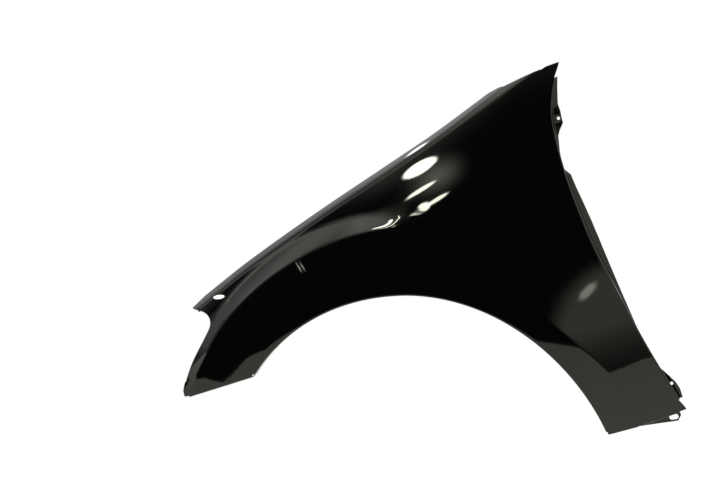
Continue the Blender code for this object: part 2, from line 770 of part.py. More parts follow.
def build_panel():
    """The pressed sheet with its thickness and its holes, and where its main rail pad bears."""
    mesh = bmesh.new()
    listing = columns()
    grid = build_skin(mesh, listing)
    pads = build_rail(mesh, listing, grid)
    build_pillar_flange(mesh, listing, grid)
    build_rocker_flange(mesh, grid)
    holes = build_arch_lip(mesh, listing, grid)
    holes += build_rear_flange(mesh, listing, grid)
    holes += build_headlamp_flange(mesh, listing, grid)
    holes += build_bumper_flange(mesh, grid)
    holes += [(centre_of(pad), UPWARD, RAIL_HOLE_RADIUS) for pad in pads]
    bmesh.ops.recalc_face_normals(mesh, faces=mesh.faces)
    mesh.faces.ensure_lookup_table()
    if mesh.faces[0].normal.y > 0.0:
        bmesh.ops.reverse_faces(mesh, faces=mesh.faces)

    panel = make_object("fender_panel", mesh, parts)
    sheet = panel.modifiers.new("sheet", "SOLIDIFY")
    sheet.thickness = SHEET_THICKNESS
    sheet.offset = -1.0
    sheet.use_even_offset = True
    for i, (centre, axis, radius) in enumerate(holes):
        size = (2.0 * radius, 2.0 * radius, HOLE_CUT)
        cut(panel, slot_cutter(f"hole_{i + 1}", centre, axis, REARWARD, size))
    for i, (before, after) in enumerate(zip(pads, pads[1:])):
        start, end = before[-1], after[-2]
        run = (end - start).normalized()
        size = ((end - start).length - 2.0 * SCALLOP_MARGIN, 2.0 * SCALLOP_DEPTH, SCALLOP_CUT)
        cut(panel, slot_cutter(f"scallop_{i + 1}", (start + end) / 2.0, run.cross(INBOARD), run, size))
    slot_centre = Vector((lower_edge_x(SLOT_SHARE), lug_plane(), SLOT_HEIGHT))
    slot_run = leaning(SLOT_TILT, REARWARD, -UPWARD)
    size = (SLOT_LENGTH, SLOT_WIDTH, SLOT_CUT)
    cut(panel, slot_cutter("rocker_slot", slot_centre, INBOARD, slot_run, size))
    underside = centre_of(pads[MAIN_PAD]) - UPWARD * SHEET_THICKNESS
    return panel, underside + REARWARD * PAD_REST_OFFSET


for thing in list(bpy.data.objects):
    bpy.data.objects.remove(thing, do_unlink=True)
parts = bpy.data.collections.new("fender")
cutters = bpy.data.collections.new("cutters")
for collection in (parts, cutters):
    bpy.context.scene.collection.children.link(collection)
panel, rest = build_panel()
panel.data.materials.append(paint_material())
panel.data.shade_smooth()
panel.data.set_sharp_from_angle(angle=math.radians(SHARP_ANGLE))
for thing in bpy.data.objects:
    thing.data.transform(Matrix.Translation(-rest))
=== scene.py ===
import math
import bmesh
import bpy
from mathutils import Matrix, Vector


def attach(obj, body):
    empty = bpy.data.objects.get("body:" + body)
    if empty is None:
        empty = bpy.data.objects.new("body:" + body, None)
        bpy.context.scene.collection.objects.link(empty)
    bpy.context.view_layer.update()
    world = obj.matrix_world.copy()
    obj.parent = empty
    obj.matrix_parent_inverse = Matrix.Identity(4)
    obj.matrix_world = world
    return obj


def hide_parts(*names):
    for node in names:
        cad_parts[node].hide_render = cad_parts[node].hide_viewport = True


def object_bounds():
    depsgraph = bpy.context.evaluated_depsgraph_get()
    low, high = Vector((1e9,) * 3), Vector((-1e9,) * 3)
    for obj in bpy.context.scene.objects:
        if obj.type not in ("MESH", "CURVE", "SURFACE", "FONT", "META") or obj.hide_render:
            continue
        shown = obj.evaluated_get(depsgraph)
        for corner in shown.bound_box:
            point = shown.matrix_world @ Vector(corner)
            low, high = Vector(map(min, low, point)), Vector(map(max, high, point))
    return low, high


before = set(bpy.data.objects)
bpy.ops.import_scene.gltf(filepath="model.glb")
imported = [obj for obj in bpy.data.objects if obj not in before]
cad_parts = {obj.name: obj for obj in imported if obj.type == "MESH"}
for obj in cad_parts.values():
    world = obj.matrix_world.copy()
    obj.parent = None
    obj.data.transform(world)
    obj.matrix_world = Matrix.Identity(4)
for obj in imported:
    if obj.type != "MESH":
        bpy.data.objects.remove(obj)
cadBox = [[float(value) for value in corner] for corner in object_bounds()]

rearward = Vector((1.0, 0.0, 0.0))
inboard = Vector((0.0, 1.0, 0.0))
upward = Vector((0.0, 0.0, 1.0))

# The pressed panel, in metres, from the wheel centre
size = {
    # Sheet, metres
    "sheetThickness": 0.0008,
    "foldRadius": 0.0025,

    # Wheel arch, a circle about the wheel centre, with its ends as angles from the rear
    "archRadius": 0.355,
    "archFrontAngle": 125.75,
    "archRearAngle": 2.45,
    "archLipDepth": 0.017,

    # Outlines in side view, as x and z
    "headlampEdge": (
        (-0.3520, 0.2865),
        (-0.3618, 0.2900),
        (-0.3612, 0.3005),
        (-0.3295, 0.3410),
        (-0.2800, 0.3855),
        (-0.2710, 0.3970),
        (-0.2728, 0.4105),
        (-0.2870, 0.4225),
        (-0.3130, 0.4310),
    ),
    "hoodLine": (
        (-0.2850, 0.4435),
        (-0.1770, 0.4760),
        (-0.0230, 0.5150),
        (0.1320, 0.5505),
        (0.2320, 0.5735),
        (0.3430, 0.6038),
    ),
    "pillarPoint": (0.4790, 0.6110),
    "pillarBow": 0.0032,
    "rearEdge": (
        (0.6110, 0.4790),
        (0.5630, 0.4532),
        (0.5250, 0.4412),
        (0.4430, 0.4352),
        (0.3650, 0.4375),
        (0.3120, 0.4415),
        (0.2520, 0.4500),
        (0.1260, 0.4695),
        (0.0134, 0.4905),
    ),

    # Corner of the lower edge: its share of the run from the arch to the rear corner, and its height
    "rockerKinkShare": 0.3764,
    "rockerKinkHeight": 0.0105,

    # How the side bows inboard: towards the nose, and above and below its widest level
    "planDepth": 0.112,
    "planPower": 2.2,
    "waistHeight": 0.150,
    "lowerBowRadius": 0.90,
    "upperBowRadius": 1.15,

    # Shoulder under the hood line, and the narrow shelf where it turns to meet the hood
    "shoulderDepth": 0.030,
    "shoulderRun": 0.125,
    "shoulderPower": 2.2,
    "shoulderLimit": 1.3,
    "shoulderFadeStart": 0.12,
    "shoulderFadeEnd": 0.42,
    "shoulderFadeShare": 0.75,
    "shelfWidth": 0.0118,
    "shelfSlope": 2.25,
    "shelfSoftness": 0.006,

    # Flare round the arch: angle, distance of its crest from the arch, width and height of its ledge,
    # softness of the crest and of the ledge's root, which fades out towards the door
    "flare": (
        (-5.0, 0.051, 0.110, 0.012, 0.004, 0.030),
        (20.0, 0.051, 0.110, 0.011, 0.004, 0.030),
        (37.0, 0.044, 0.105, 0.009, 0.004, 0.030),
        (48.0, 0.078, 0.095, 0.007, 0.008, 0.040),
        (60.0, 0.114, 0.070, 0.007, 0.016, 0.055),
        (70.0, 0.116, 0.040, 0.009, 0.016, 0.050),
        (76.0, 0.113, 0.022, 0.014, 0.006, 0.016),
        (84.0, 0.109, 0.027, 0.019, 0.004, 0.006),
        (95.0, 0.101, 0.035, 0.022, 0.004, 0.006),
        (110.0, 0.100, 0.030, 0.021, 0.004, 0.006),
        (123.0, 0.101, 0.025, 0.017, 0.004, 0.006),
        (132.0, 0.097, 0.026, 0.011, 0.004, 0.006),
        (142.0, 0.100, 0.026, 0.003, 0.004, 0.006),
    ),

    # Rail flange under the hood line: a wall down to a ledge with four level pads.
    # In front of the first pad the ledge narrows by this taper, up to the trim, to keep inside the CAD box
    "railPads": (-0.250, -0.075, 0.105, 0.280),
    "mainPad": 1,
    "padLength": 0.030,
    "padCatch": 0.51,
    "railDrop": 0.034,
    "railWallLean": 8.0,
    "railLedgeWidth": 0.026,
    "railTaper": 0.3,
    "railTrim": 0.003,
    "railHoleRadius": 0.0038,
    "scallopDepth": 0.013,
    "scallopMargin": 0.008,
    "padRestOffset": 0.0095,

    # Rear flange by height: lean of its wall from straight inboard, height of its wall, width of its ledge
    "rearFlange": (
        (0.588, 0.0, 0.004, 0.0010),
        (0.575, 0.0, 0.004, 0.0042),
        (0.560, 0.0, 0.004, 0.0072),
        (0.547, 0.0, 0.004, 0.0088),
        (0.533, 0.0, 0.004, 0.0112),
        (0.515, 0.0, 0.010, 0.0116),
        (0.507, 0.0, 0.007, 0.0068),
        (0.497, 0.0, 0.004, 0.0022),
        (0.473, -32.0, 0.004, 0.0010),
        (0.449, -35.0, 0.007, 0.0010),
        (0.441, -15.0, 0.014, 0.0010),
        (0.432, 0.0, 0.014, 0.0037),
        (0.385, 0.0, 0.014, 0.0073),
        (0.350, 0.0, 0.014, 0.0091),
        (0.320, 0.0, 0.014, 0.0089),
        (0.290, 0.0, 0.014, 0.0068),
        (0.260, 0.0, 0.014, 0.0041),
        (0.230, 0.0, 0.012, 0.0017),
        (0.200, -8.0, 0.012, 0.0010),
        (0.160, -24.0, 0.012, 0.0010),
        (0.120, -36.0, 0.012, 0.0010),
    ),
    "pillarTab": (0.533, 0.515),
    "pillarTabStandoff": 0.0080,
    "pillarTabHoleRadius": 0.0027,

    # Lower ear of the rear flange, by height, where the sheet doubles back and runs out again
    "rearEar": (
        (0.098, 0.0015),
        (0.086, 0.0060),
        (0.073, 0.0095),
        (0.060, 0.0122),
        (0.048, 0.0113),
        (0.040, 0.0085),
        (0.033, 0.0058),
    ),
    "earLean": -45.0,
    "earStandoff": 0.0098,
    "earHoleLevel": 0.060,
    "earHoleReach": 0.0050,
    "earHoleRadius": 0.0027,

    # Rocker lug: its lower edge and its slot, with shares of the same run for places along it
    "lugEdge": (
        (0.3985, 0.0085),
        (0.6273, 0.0033),
        (0.8339, -0.0014),
        (0.8635, -0.0012),
        (0.9077, 0.0060),
    ),
    "lugLean": 45.0,
    "lugStandoff": 0.0045,
    "slotShare": 0.8155,
    "slotHeight": 0.0062,
    "slotLength": 0.0150,
    "slotWidth": 0.0086,
    "slotTilt": 9.5,

    # Plain flanges
    "headlampFlangeDepth": 0.014,
    "headlampFlangeShare": (1.0 / 9.0, 8.0 / 9.0),
    "headlampHoleShare": 1.0 / 3.0,
    "headlampHoleRadius": 0.0024,
    "bumperFlangeDepth": 0.018,
    "bumperHoles": (-0.318, -0.252),
    "bumperHoleRadius": 0.0030,
    "rockerFlangeDepth": 0.012,
    "pillarFlangeDepth": 0.016,
    "pillarFlangeDrop": 20.0,
    "pillarFlangeShare": (0.25, 0.75),
    "clipHoleAngles": (18.0, 42.0, 66.0, 90.0, 114.0),
    "clipHoleRadius": 0.0028,

    # Mesh density: rows from the arch outwards, up to, across and between crest, root and shelf
    "rows": (12, 6, 10, 6, 20, 6, 4),
    "noseStations": 3,
    "headlampStations": 36,
    "pillarStations": 12,
    "railSpacing": 0.0075,
    "rearSpacing": 0.0035,
    "foldStepAngle": 15.0,
    "roundSteps": 16,
    "leastRow": 0.0004,
    "edgeBand": 0.010,
    "edgeBandShare": 0.125,
    "crossingSteps": 30,

    # Corners are left open over this length, so that the flanges beside them can fold
    "cornerRelief": 0.006,

    # Angles at the arch of the columns that end at the corners of the outline
    "headlampAngle": 110.0,
    "hoodAngle": 68.0,
    "pillarAngle": 61.0,
    "bowedHoodShare": 0.4,
    "columnLead": 0.5,

    # Cuts, and the ledge of the rear flange turned inboard where it carries no screw
    "holeCut": 0.006,
    "slotCut": 0.003,
    "scallopCut": 0.030,
    "ledgeLean": 30.0,
    "ledgeTurn": 0.012,
    "sharpAngle": 50.0,
}


def smoothStep(low, high, value):
    share = min(max((value - low) / (high - low), 0.0), 1.0)
    return share * share * (3.0 - 2.0 * share)


def softRamp(distance, softness):
    if distance <= -softness:
        return 0.0
    if distance >= softness:
        return distance
    return (distance + softness) ** 2 / (4.0 * softness)


def onLine(table, at):
    if at <= table[0][0]:
        return table[0][1]
    for (low, start), (high, end) in zip(table, table[1:]):
        if at <= high:
            return start + (end - start) * (at - low) / (high - low)
    return table[-1][1]


def interpolate(table, at):
    rows = sorted(table)
    last = len(rows) - 1
    index = max(i for i in range(last) if i == 0 or rows[i][0] <= at)
    low, high = rows[index], rows[index + 1]
    span = high[0] - low[0]
    share = (at - low[0]) / span

    def slope(i, k):
        before, after = rows[max(i - 1, 0)], rows[min(i + 1, last)]
        return (after[k] - before[k]) / (after[0] - before[0])

    values = []
    for k in range(1, len(low)):
        if share < 0.0:
            values.append(low[k] + slope(0, k) * (at - low[0]))
        elif share > 1.0:
            values.append(high[k] + slope(last, k) * (at - high[0]))
        else:
            start, end = slope(index, k) * span, slope(index + 1, k) * span
            rise = high[k] - low[k]
            values.append(low[k] + share * (start + share * (
                3.0 * rise - 2.0 * start - end + share * (start + end - 2.0 * rise))))
    return values


def hoodHeight(x):
    return interpolate(size["hoodLine"], x)[0]


def belowHood(x, z):
    (frontX, frontZ), (rearX, rearZ) = size["hoodLine"][0], size["hoodLine"][-1]
    length = math.hypot(rearX - frontX, rearZ - frontZ)
    return (hoodHeight(x) - z) * (rearX - frontX) / length


def pastCrest(x, z):
    crest, width, height, near, far = interpolate(size["flare"], math.degrees(math.atan2(z, x)))
    return math.hypot(x, z) - size["archRadius"] - crest, width, height, near, far


def sideDepth(x, z):
    rearX, noseX = size["rearEdge"][-1][1], size["headlampEdge"][1][0]
    towardsNose = max((rearX - x) / (rearX - noseX), 0.0)
    depth = size["planDepth"] * towardsNose ** size["planPower"]
    above = z - size["waistHeight"]
    depth += above * above / (2.0 * (size["upperBowRadius"] if above > 0.0 else size["lowerBowRadius"]))
    below = belowHood(x, z)
    fade = 1.0 - size["shoulderFadeShare"] * smoothStep(size["shoulderFadeStart"], size["shoulderFadeEnd"], x)
    closeness = max(1.0 - (below - size["shelfWidth"]) / size["shoulderRun"], 0.0)
    depth += size["shoulderDepth"] * fade * min(closeness, size["shoulderLimit"]) ** size["shoulderPower"]
    depth += size["shelfSlope"] * softRamp(size["shelfWidth"] - below, size["shelfSoftness"])
    beyond, width, height, near, far = pastCrest(x, z)
    fall = softRamp(beyond, near) - softRamp(beyond - width, far)
    return depth - height * (1.0 - fall / width)


def onFace(x, z):
    return Vector((x, sideDepth(x, z), z))


def faceTangent(x, z, direction):
    reach = 0.0005
    ahead = onFace(x + direction[0] * reach, z + direction[1] * reach)
    return (ahead - onFace(x, z)).normalized()


def archPoint(angle):
    radius = size["archRadius"] + size["foldRadius"]
    return radius * math.cos(math.radians(angle)), radius * math.sin(math.radians(angle))


def chordTable(points):
    table, travelled = [], 0.0
    for index, point in enumerate(points):
        if index:
            travelled += math.dist(points[index - 1], point)
        table.append((travelled, *point))
    return table


def headlampOutline():
    table = chordTable(size["headlampEdge"])
    start, end = table[size["noseStations"] - 1][0], table[-1][0] - size["cornerRelief"]
    stations = [list(point) for point in size["headlampEdge"][:size["noseStations"]]]
    for i in range(1, size["headlampStations"] + 1):
        stations.append(interpolate(table, start + (end - start) * i / size["headlampStations"]))
    return stations + [list(size["headlampEdge"][-1])]


def hoodStations():
    marks = [size["headlampEdge"][-1][0] + size["cornerRelief"]]
    for pad in size["railPads"]:
        marks += [pad - size["padLength"] / 2.0, pad + size["padLength"] / 2.0]
    marks.append(size["hoodLine"][-1][0] - size["cornerRelief"])
    places = []
    for start, end in zip(marks, marks[1:]):
        steps = max(round((end - start) / size["railSpacing"]), 1)
        places += [start + (end - start) * i / steps for i in range(steps)]
    return places + [marks[-1], size["hoodLine"][-1][0]]


def hoodOutline():
    cornerX, cornerZ = size["headlampEdge"][-1]
    firstX, firstZ = size["hoodLine"][0]
    stations = []
    for x in hoodStations():
        height = hoodHeight(x)
        if x < firstX:
            share = (x - cornerX) / (firstX - cornerX)
            height = cornerZ + (firstZ - cornerZ) * share
        stations.append([x, height])
    return stations


def pillarOutline():
    start, end = size["hoodLine"][-1], size["pillarPoint"]
    stations = []
    for i in range(1, size["pillarStations"] + 1):
        share = i / size["pillarStations"]
        rise = 4.0 * size["pillarBow"] * share * (1.0 - share)
        x, z = (a + (b - a) * share for a, b in zip(start, end))
        stations.append([x, z + rise])
    return stations


def rearLevels():
    bottom, top = size["rearEdge"][-1][0], size["rearEdge"][0][0]
    marks = [row[0] for row in size["rearFlange"] + size["rearEar"]]
    levels = [top - size["cornerRelief"], bottom + size["cornerRelief"], bottom] + marks[-1:]
    for high, low in zip(marks, marks[1:]):
        steps = max(round((high - low) / size["rearSpacing"]), 1)
        levels += [high + (low - high) * i / steps for i in range(steps)]
    return sorted(levels, reverse=True)


def rearEdgeX(level):
    return interpolate(size["rearEdge"], level)[0]


def rearOutline():
    return [[rearEdgeX(level), level] for level in rearLevels()]


def setBack(stations, first, last):
    moved = [list(station) for station in stations]
    for i in range(first, len(stations) - last):
        before, after = stations[max(i - 1, 0)], stations[min(i + 1, len(stations) - 1)]
        along = Vector((after[0] - before[0], after[1] - before[1])).normalized()
        x, z = stations[i]
        moved[i] = [x + along[1] * size["foldRadius"], z - along[0] * size["foldRadius"]]
    return moved


def bowOf(edge, share):
    if edge == "headlamp":
        return share
    return max(1.0 - share / size["bowedHoodShare"], 0.0) if edge == "hood" else 0.0


def lowerEdgeX(share):
    return size["archRadius"] + (size["rearEdge"][-1][1] - size["archRadius"]) * share


def flanged(stations, shares):
    return [round(stations * share) for share in shares]


def columns():
    headFirst, headLast = flanged(size["headlampStations"], size["headlampFlangeShare"])
    pillarFirst, pillarLast = flanged(size["pillarStations"], size["pillarFlangeShare"])
    afterFlange = size["headlampStations"] + 1 - headLast
    headlamp = setBack(headlampOutline(), size["noseStations"] + headFirst - 1, afterFlange)
    pillar = setBack(pillarOutline(), pillarFirst - 1, size["pillarStations"] - pillarLast)
    edges = (
        ("headlamp", headlamp, size["archFrontAngle"], size["headlampAngle"]),
        ("hood", hoodOutline(), size["headlampAngle"], size["hoodAngle"]),
        ("pillar", pillar, size["hoodAngle"], size["pillarAngle"]),
        ("rear", setBack(rearOutline(), 1, 2), size["pillarAngle"], size["archRearAngle"]),
    )
    result = []
    for name, stations, firstAngle, lastAngle in edges:
        points = [result[-1]["end"]] + stations if result else stations
        table = chordTable(points)
        for (travelled, *_), point in zip(table[len(points) - len(stations):], stations):
            share = travelled / table[-1][0]
            angle = firstAngle + (lastAngle - firstAngle) * share
            column = {"edge": name, "end": point, "angle": angle, "bow": bowOf(name, share), "via": None}
            result.append(column)
    rear = [column for column in result if column["edge"] == "rear"]
    for column, level in zip(rear, rearLevels()):
        column["level"] = level
    result[0]["end"][1] += size["foldRadius"]
    result[-1]["via"] = (lowerEdgeX(size["rockerKinkShare"]), size["rockerKinkHeight"] + size["foldRadius"])
    return result


def crossing(path, test):
    low, high = 0.0, 1.0
    if test(*path(high)) < 0.0:
        return 1.0
    for _ in range(size["crossingSteps"]):
        middle = (low + high) / 2.0
        low, high = (low, middle) if test(*path(middle)) > 0.0 else (middle, high)
    return high


def columnPath(column):
    start, end, via = archPoint(column["angle"]), column["end"], column["via"]
    length = math.dist(start, end)
    hubDistance = math.hypot(*start)
    leaving = [value * (1.0 + size["columnLead"] * length / hubDistance) for value in start]
    middle = [(a + b) / 2.0 for a, b in zip(start, end)]
    guide = [m + (out - m) * column["bow"] for m, out in zip(middle, leaving)]

    def path(share):
        if via:
            bend = (via[0] - start[0]) / (end[0] - start[0])
            if share < bend:
                return tuple(a + (b - a) * share / bend for a, b in zip(start, via))
            return tuple(a + (b - a) * (share - bend) / (1.0 - bend) for a, b in zip(via, end))
        rest = 1.0 - share
        return tuple(rest * rest * a + 2.0 * rest * share * g + share * share * b
                     for a, g, b in zip(start, guide, end))

    return path, length


def columnPoints(column):
    path, length = columnPath(column)
    band = min(size["edgeBand"], length * size["edgeBandShare"])
    shelf = min(crossing(path, lambda x, z: size["shelfWidth"] - belowHood(x, z)) * length, length - band)
    root = min(crossing(path, lambda x, z: pastCrest(x, z)[0] - pastCrest(x, z)[1]) * length, shelf - band)
    crest = min(crossing(path, lambda x, z: pastCrest(x, z)[0]) * length, root - band)
    near, far = pastCrest(*path(root / length))[3:]
    bends = [(crest, near), (root, far), (shelf, size["shelfSoftness"])]
    stops = [0.0] + [place + soft * side for place, soft in bends for side in (-1.0, 1.0)] + [length]
    places = []
    for stop, following, rows in zip(stops, stops[1:], size["rows"]):
        places += [stop + (following - stop) * i / rows for i in range(rows)]
    places.append(length)
    least = min(size["leastRow"], length / len(places) / 2.0)
    for index in range(1, len(places)):
        places[index] = max(places[index], places[index - 1] + least)
    for index in range(len(places)):
        places[index] = min(places[index], length - least * (len(places) - 1 - index))
    return [onFace(*path(place / length)) for place in places]


def foldPoint(start, heading, direction, share):
    side = (direction - direction.dot(heading) * heading).normalized()
    turn = heading.angle(direction) * share
    return start + (heading * math.sin(turn) + side * (1.0 - math.cos(turn))) * size["foldRadius"]


def fold(mesh, edge, headings, legs):
    rows = [edge]
    for directions, lengths in legs:
        starts = [vertex.co.copy() for vertex in rows[-1]]
        sharpest = max(math.degrees(a.angle(b)) for a, b in zip(headings, directions))
        steps = max(round(sharpest / size["foldStepAngle"]), 1)
        for step in range(1, steps + 1):
            rows.append([mesh.verts.new(foldPoint(start, heading, direction, step / steps))
                         for start, heading, direction in zip(starts, headings, directions)])
        rows.append([mesh.verts.new(vertex.co + direction * length)
                     for vertex, direction, length in zip(rows[-1], directions, lengths)])
        headings = directions
    for near, far in zip(rows, rows[1:]):
        for i in range(len(near) - 1):
            mesh.faces.new((near[i], near[i + 1], far[i + 1], far[i]))
    return rows


def afterLeg(start, heading, direction, length, following):
    turned = foldPoint(start, heading, direction, 1.0)
    return foldPoint(turned + direction * length, direction, following, 1.0)


def legToPlane(start, heading, direction, following, axis, level):
    return (level - afterLeg(start, heading, direction, 0.0, following)[axis]) / direction[axis]


def leaning(angle, along, across):
    turn = math.radians(angle)
    return along * math.cos(turn) + across * math.sin(turn)


def same(value, run):
    return [value] * len(run)


def headingsOf(edge, direction):
    return [faceTangent(vertex.co.x, vertex.co.z, direction) for vertex in edge]


def railHeight(x):
    marks = []
    for pad in size["railPads"]:
        level = hoodHeight(pad) - size["railDrop"]
        marks += [(pad - size["padLength"] / 2.0, level), (pad + size["padLength"] / 2.0, level)]
    return onLine(marks, x)


def centreOf(points):
    return sum(points, Vector()) / len(points)


def endsOn(listing, name):
    return [i for i, column in enumerate(listing) if column["edge"] == name]


def buildSkin(mesh, listing):
    grid = [[mesh.verts.new(point) for point in columnPoints(column)] for column in listing]
    for left, right in zip(grid, grid[1:]):
        for i in range(len(left) - 1):
            mesh.faces.new((left[i], left[i + 1], right[i + 1], right[i]))
    return grid


def buildArchLip(mesh, listing, grid):
    edge = [column[0] for column in grid[1:-1]]
    headings = []
    for column, vertex in zip(listing[1:-1], edge):
        angle = math.radians(column["angle"])
        headings.append(faceTangent(vertex.co.x, vertex.co.z, (-math.cos(angle), -math.sin(angle))))
    rows = fold(mesh, edge, headings, [(same(inboard, edge), same(size["archLipDepth"], edge))])
    middles = [(near.co + far.co) / 2.0 for near, far in zip(rows[-2], rows[-1])]
    holes = []
    for angle in size["clipHoleAngles"]:
        outward = leaning(angle, rearward, upward)
        nearest = min(middles, key=lambda point: point.angle(outward))
        centre = Vector((0.0, nearest.y, 0.0)) + outward * size["archRadius"]
        holes.append((centre, outward, size["clipHoleRadius"]))
    return holes


def buildRail(mesh, listing, grid):
    edge = [grid[i][-1] for i in endsOn(listing, "hood")[:-1]]
    headings = headingsOf(edge, (0.0, 1.0))
    down = leaning(size["railWallLean"], -upward, inboard)
    drops = [legToPlane(vertex.co, heading, down, inboard, 2, railHeight(vertex.co.x))
             for vertex, heading in zip(edge, headings)]
    start = size["railPads"][0] - size["padLength"] / 2.0
    trims = [max(start - vertex.co.x, 0.0) * size["railTaper"] for vertex in edge]
    widths = [size["railLedgeWidth"] - min(trim, size["railTrim"]) for trim in trims]
    legs = [(same(down, edge), drops), (same(inboard, edge), widths)]
    near, far = fold(mesh, edge, headings, legs)[-2:]
    reach = size["padLength"] * size["padCatch"]
    pads = []
    for pad in size["railPads"]:
        picked = [i for i, vertex in enumerate(near) if abs(vertex.co.x - pad) < reach]
        corners = [row[i].co.copy() for row in (near, far) for i in (picked[0], picked[-1])]
        pads.append(corners)
    return pads


def between(rows, level):
    rows = sorted(rows)
    return [onLine([(row[0], row[k]) for row in rows], level) for k in range(1, len(rows[0]))]


def standingIn(x, z, standoff):
    # Plane inboard of the outer face, beyond the two folds that lead to it
    return sideDepth(x, z) + 2.0 * size["foldRadius"] + standoff


def rearPlane(level, standoff):
    return standingIn(rearEdgeX(level), level, standoff)


def wallTo(start, lean, plane):
    heading = faceTangent(start.x, start.z, (1.0, 0.0))
    return legToPlane(start, heading, leaning(lean, inboard, rearward), rearward, 1, plane)


def rearRows(tabPlane, earPlane):
    rows = []
    for level, lean, height, width in size["rearFlange"]:
        if level in size["pillarTab"]:
            height = wallTo(onFace(rearEdgeX(level), level), lean, tabPlane)
        rows.append((level, lean, height, width))
    for level, width in size["rearEar"]:
        start = onFace(rearEdgeX(level), level)
        rows.append((level, size["earLean"], wallTo(start, size["earLean"], earPlane), width))
    return rows


def buildRearFlange(mesh, listing, grid):
    tabTop, tabFoot = size["pillarTab"]
    tabPlane = rearPlane((tabTop + tabFoot) / 2.0, size["pillarTabStandoff"])
    earPlane = rearPlane(size["earHoleLevel"], size["earStandoff"])
    rows = rearRows(tabPlane, earPlane)
    earTop, earFoot = size["rearEar"][0][0], size["rearEar"][-1][0]
    edge, levels, directions, heights, outward, widths = [], [], [], [], [], []
    for i in endsOn(listing, "rear"):
        level, vertex = listing[i]["level"], grid[i][-1]
        if not earFoot <= level <= rows[0][0]:
            continue
        lean, height, width = between(rows, level)
        flat = 1.0
        if tabFoot <= level <= tabTop:
            height = wallTo(vertex.co, lean, tabPlane)
        elif level <= earTop:
            height = wallTo(vertex.co, lean, earPlane)
        else:
            flat = max(1.0 - abs(level - edgeOf) / size["ledgeTurn"] for edgeOf in (tabTop, tabFoot, earTop))
        edge.append(vertex)
        levels.append(level)
        directions.append(leaning(lean, inboard, rearward))
        heights.append(height)
        outward.append(leaning(size["ledgeLean"] * (1.0 - max(flat, 0.0)), rearward, inboard))
        widths.append(width)
    legs = [(directions, heights), (outward, widths)]
    near, far = fold(mesh, edge, headingsOf(edge, (1.0, 0.0)), legs)[-2:]
    tab = [row[levels.index(level)].co for row in (near, far) for level in size["pillarTab"]]
    ear = near[levels.index(size["earHoleLevel"])].co
    return [
        (centreOf(tab), inboard, size["pillarTabHoleRadius"]),
        (ear + rearward * size["earHoleReach"], inboard, size["earHoleRadius"]),
    ]


def buildPillarFlange(mesh, listing, grid):
    first, last = flanged(size["pillarStations"], size["pillarFlangeShare"])
    edge = [grid[i][-1] for i in endsOn(listing, "pillar")[first - 1:last]]
    inward = leaning(size["pillarFlangeDrop"], inboard, -upward)
    legs = [(same(inward, edge), same(size["pillarFlangeDepth"], edge))]
    fold(mesh, edge, headingsOf(edge, (0.0, 1.0)), legs)


def buildHeadlampFlange(mesh, listing, grid):
    first, last = flanged(size["headlampStations"], size["headlampFlangeShare"])
    picked = endsOn(listing, "headlamp")[size["noseStations"] + first - 1:size["noseStations"] + last]
    edge = [grid[i][-1] for i in picked]
    headings = []
    for i in picked:
        before, after = grid[i - 1][-1].co, grid[i + 1][-1].co
        headings.append(faceTangent(*grid[i][-1].co.xz, (before.z - after.z, after.x - before.x)))
    legs = [(same(inboard, edge), same(size["headlampFlangeDepth"], edge))]
    rows = fold(mesh, edge, headings, legs)
    place = round(size["headlampStations"] * size["headlampHoleShare"]) - first
    centre = (rows[-2][place].co + rows[-1][place].co) / 2.0
    axis = Vector((headings[place].x, 0.0, headings[place].z)).normalized()
    return [(centre, axis, size["headlampHoleRadius"])]


def buildBumperFlange(mesh, grid):
    edge = grid[0][:-1]
    legs = [(same(inboard, edge), same(size["bumperFlangeDepth"], edge))]
    near, far = fold(mesh, edge, headingsOf(edge, (0.0, -1.0)), legs)[-2:]
    middles = [(a.co + b.co) / 2.0 for a, b in zip(near, far)]
    holes = []
    for x in size["bumperHoles"]:
        nearest = min(middles, key=lambda point: abs(point.x - x))
        holes.append((Vector((x, nearest.y, nearest.z)), upward, size["bumperHoleRadius"]))
    return holes


def lugPlane():
    return standingIn(lowerEdgeX(size["slotShare"]), size["slotHeight"], size["lugStandoff"])


def buildRockerFlange(mesh, grid):
    lug = [(lowerEdgeX(share), height) for share, height in size["lugEdge"]]
    start, end = lug[0][0], lug[-1][0]
    edge = [vertex for vertex in grid[-1][:-1] if vertex.co.x < start]
    legs = [(same(inboard, edge), same(size["rockerFlangeDepth"], edge))]
    fold(mesh, edge, headingsOf(edge, (0.0, -1.0)), legs)

    edge = [vertex for vertex in grid[-1][:-1] if start <= vertex.co.x <= end]
    headings = headingsOf(edge, (0.0, -1.0))
    direction = leaning(size["lugLean"], inboard, upward)
    heights, drops = [], []
    for vertex, heading in zip(edge, headings):
        height = legToPlane(vertex.co, heading, direction, -upward, 1, lugPlane())
        top = afterLeg(vertex.co, heading, direction, height, -upward).z
        heights.append(height)
        drops.append(top - interpolate(lug, vertex.co.x)[0])
    fold(mesh, edge, headings, [(same(direction, edge), heights), (same(-upward, edge), drops)])


def addObject(name, data):
    thing = bpy.data.objects.new(name, data)
    bpy.context.scene.collection.objects.link(thing)
    return thing


def meshObject(name, points, faces=()):
    data = bpy.data.meshes.new(name)
    data.from_pydata([tuple(point) for point in points], [], faces)
    return addObject(name, data)


def addAttribute(data, name, kind, values):
    layer = data.attributes.new(name, kind, "POINT")
    for item, value in zip(layer.data, values):
        if kind == "FLOAT_VECTOR":
            item.vector = value
        else:
            item.value = value


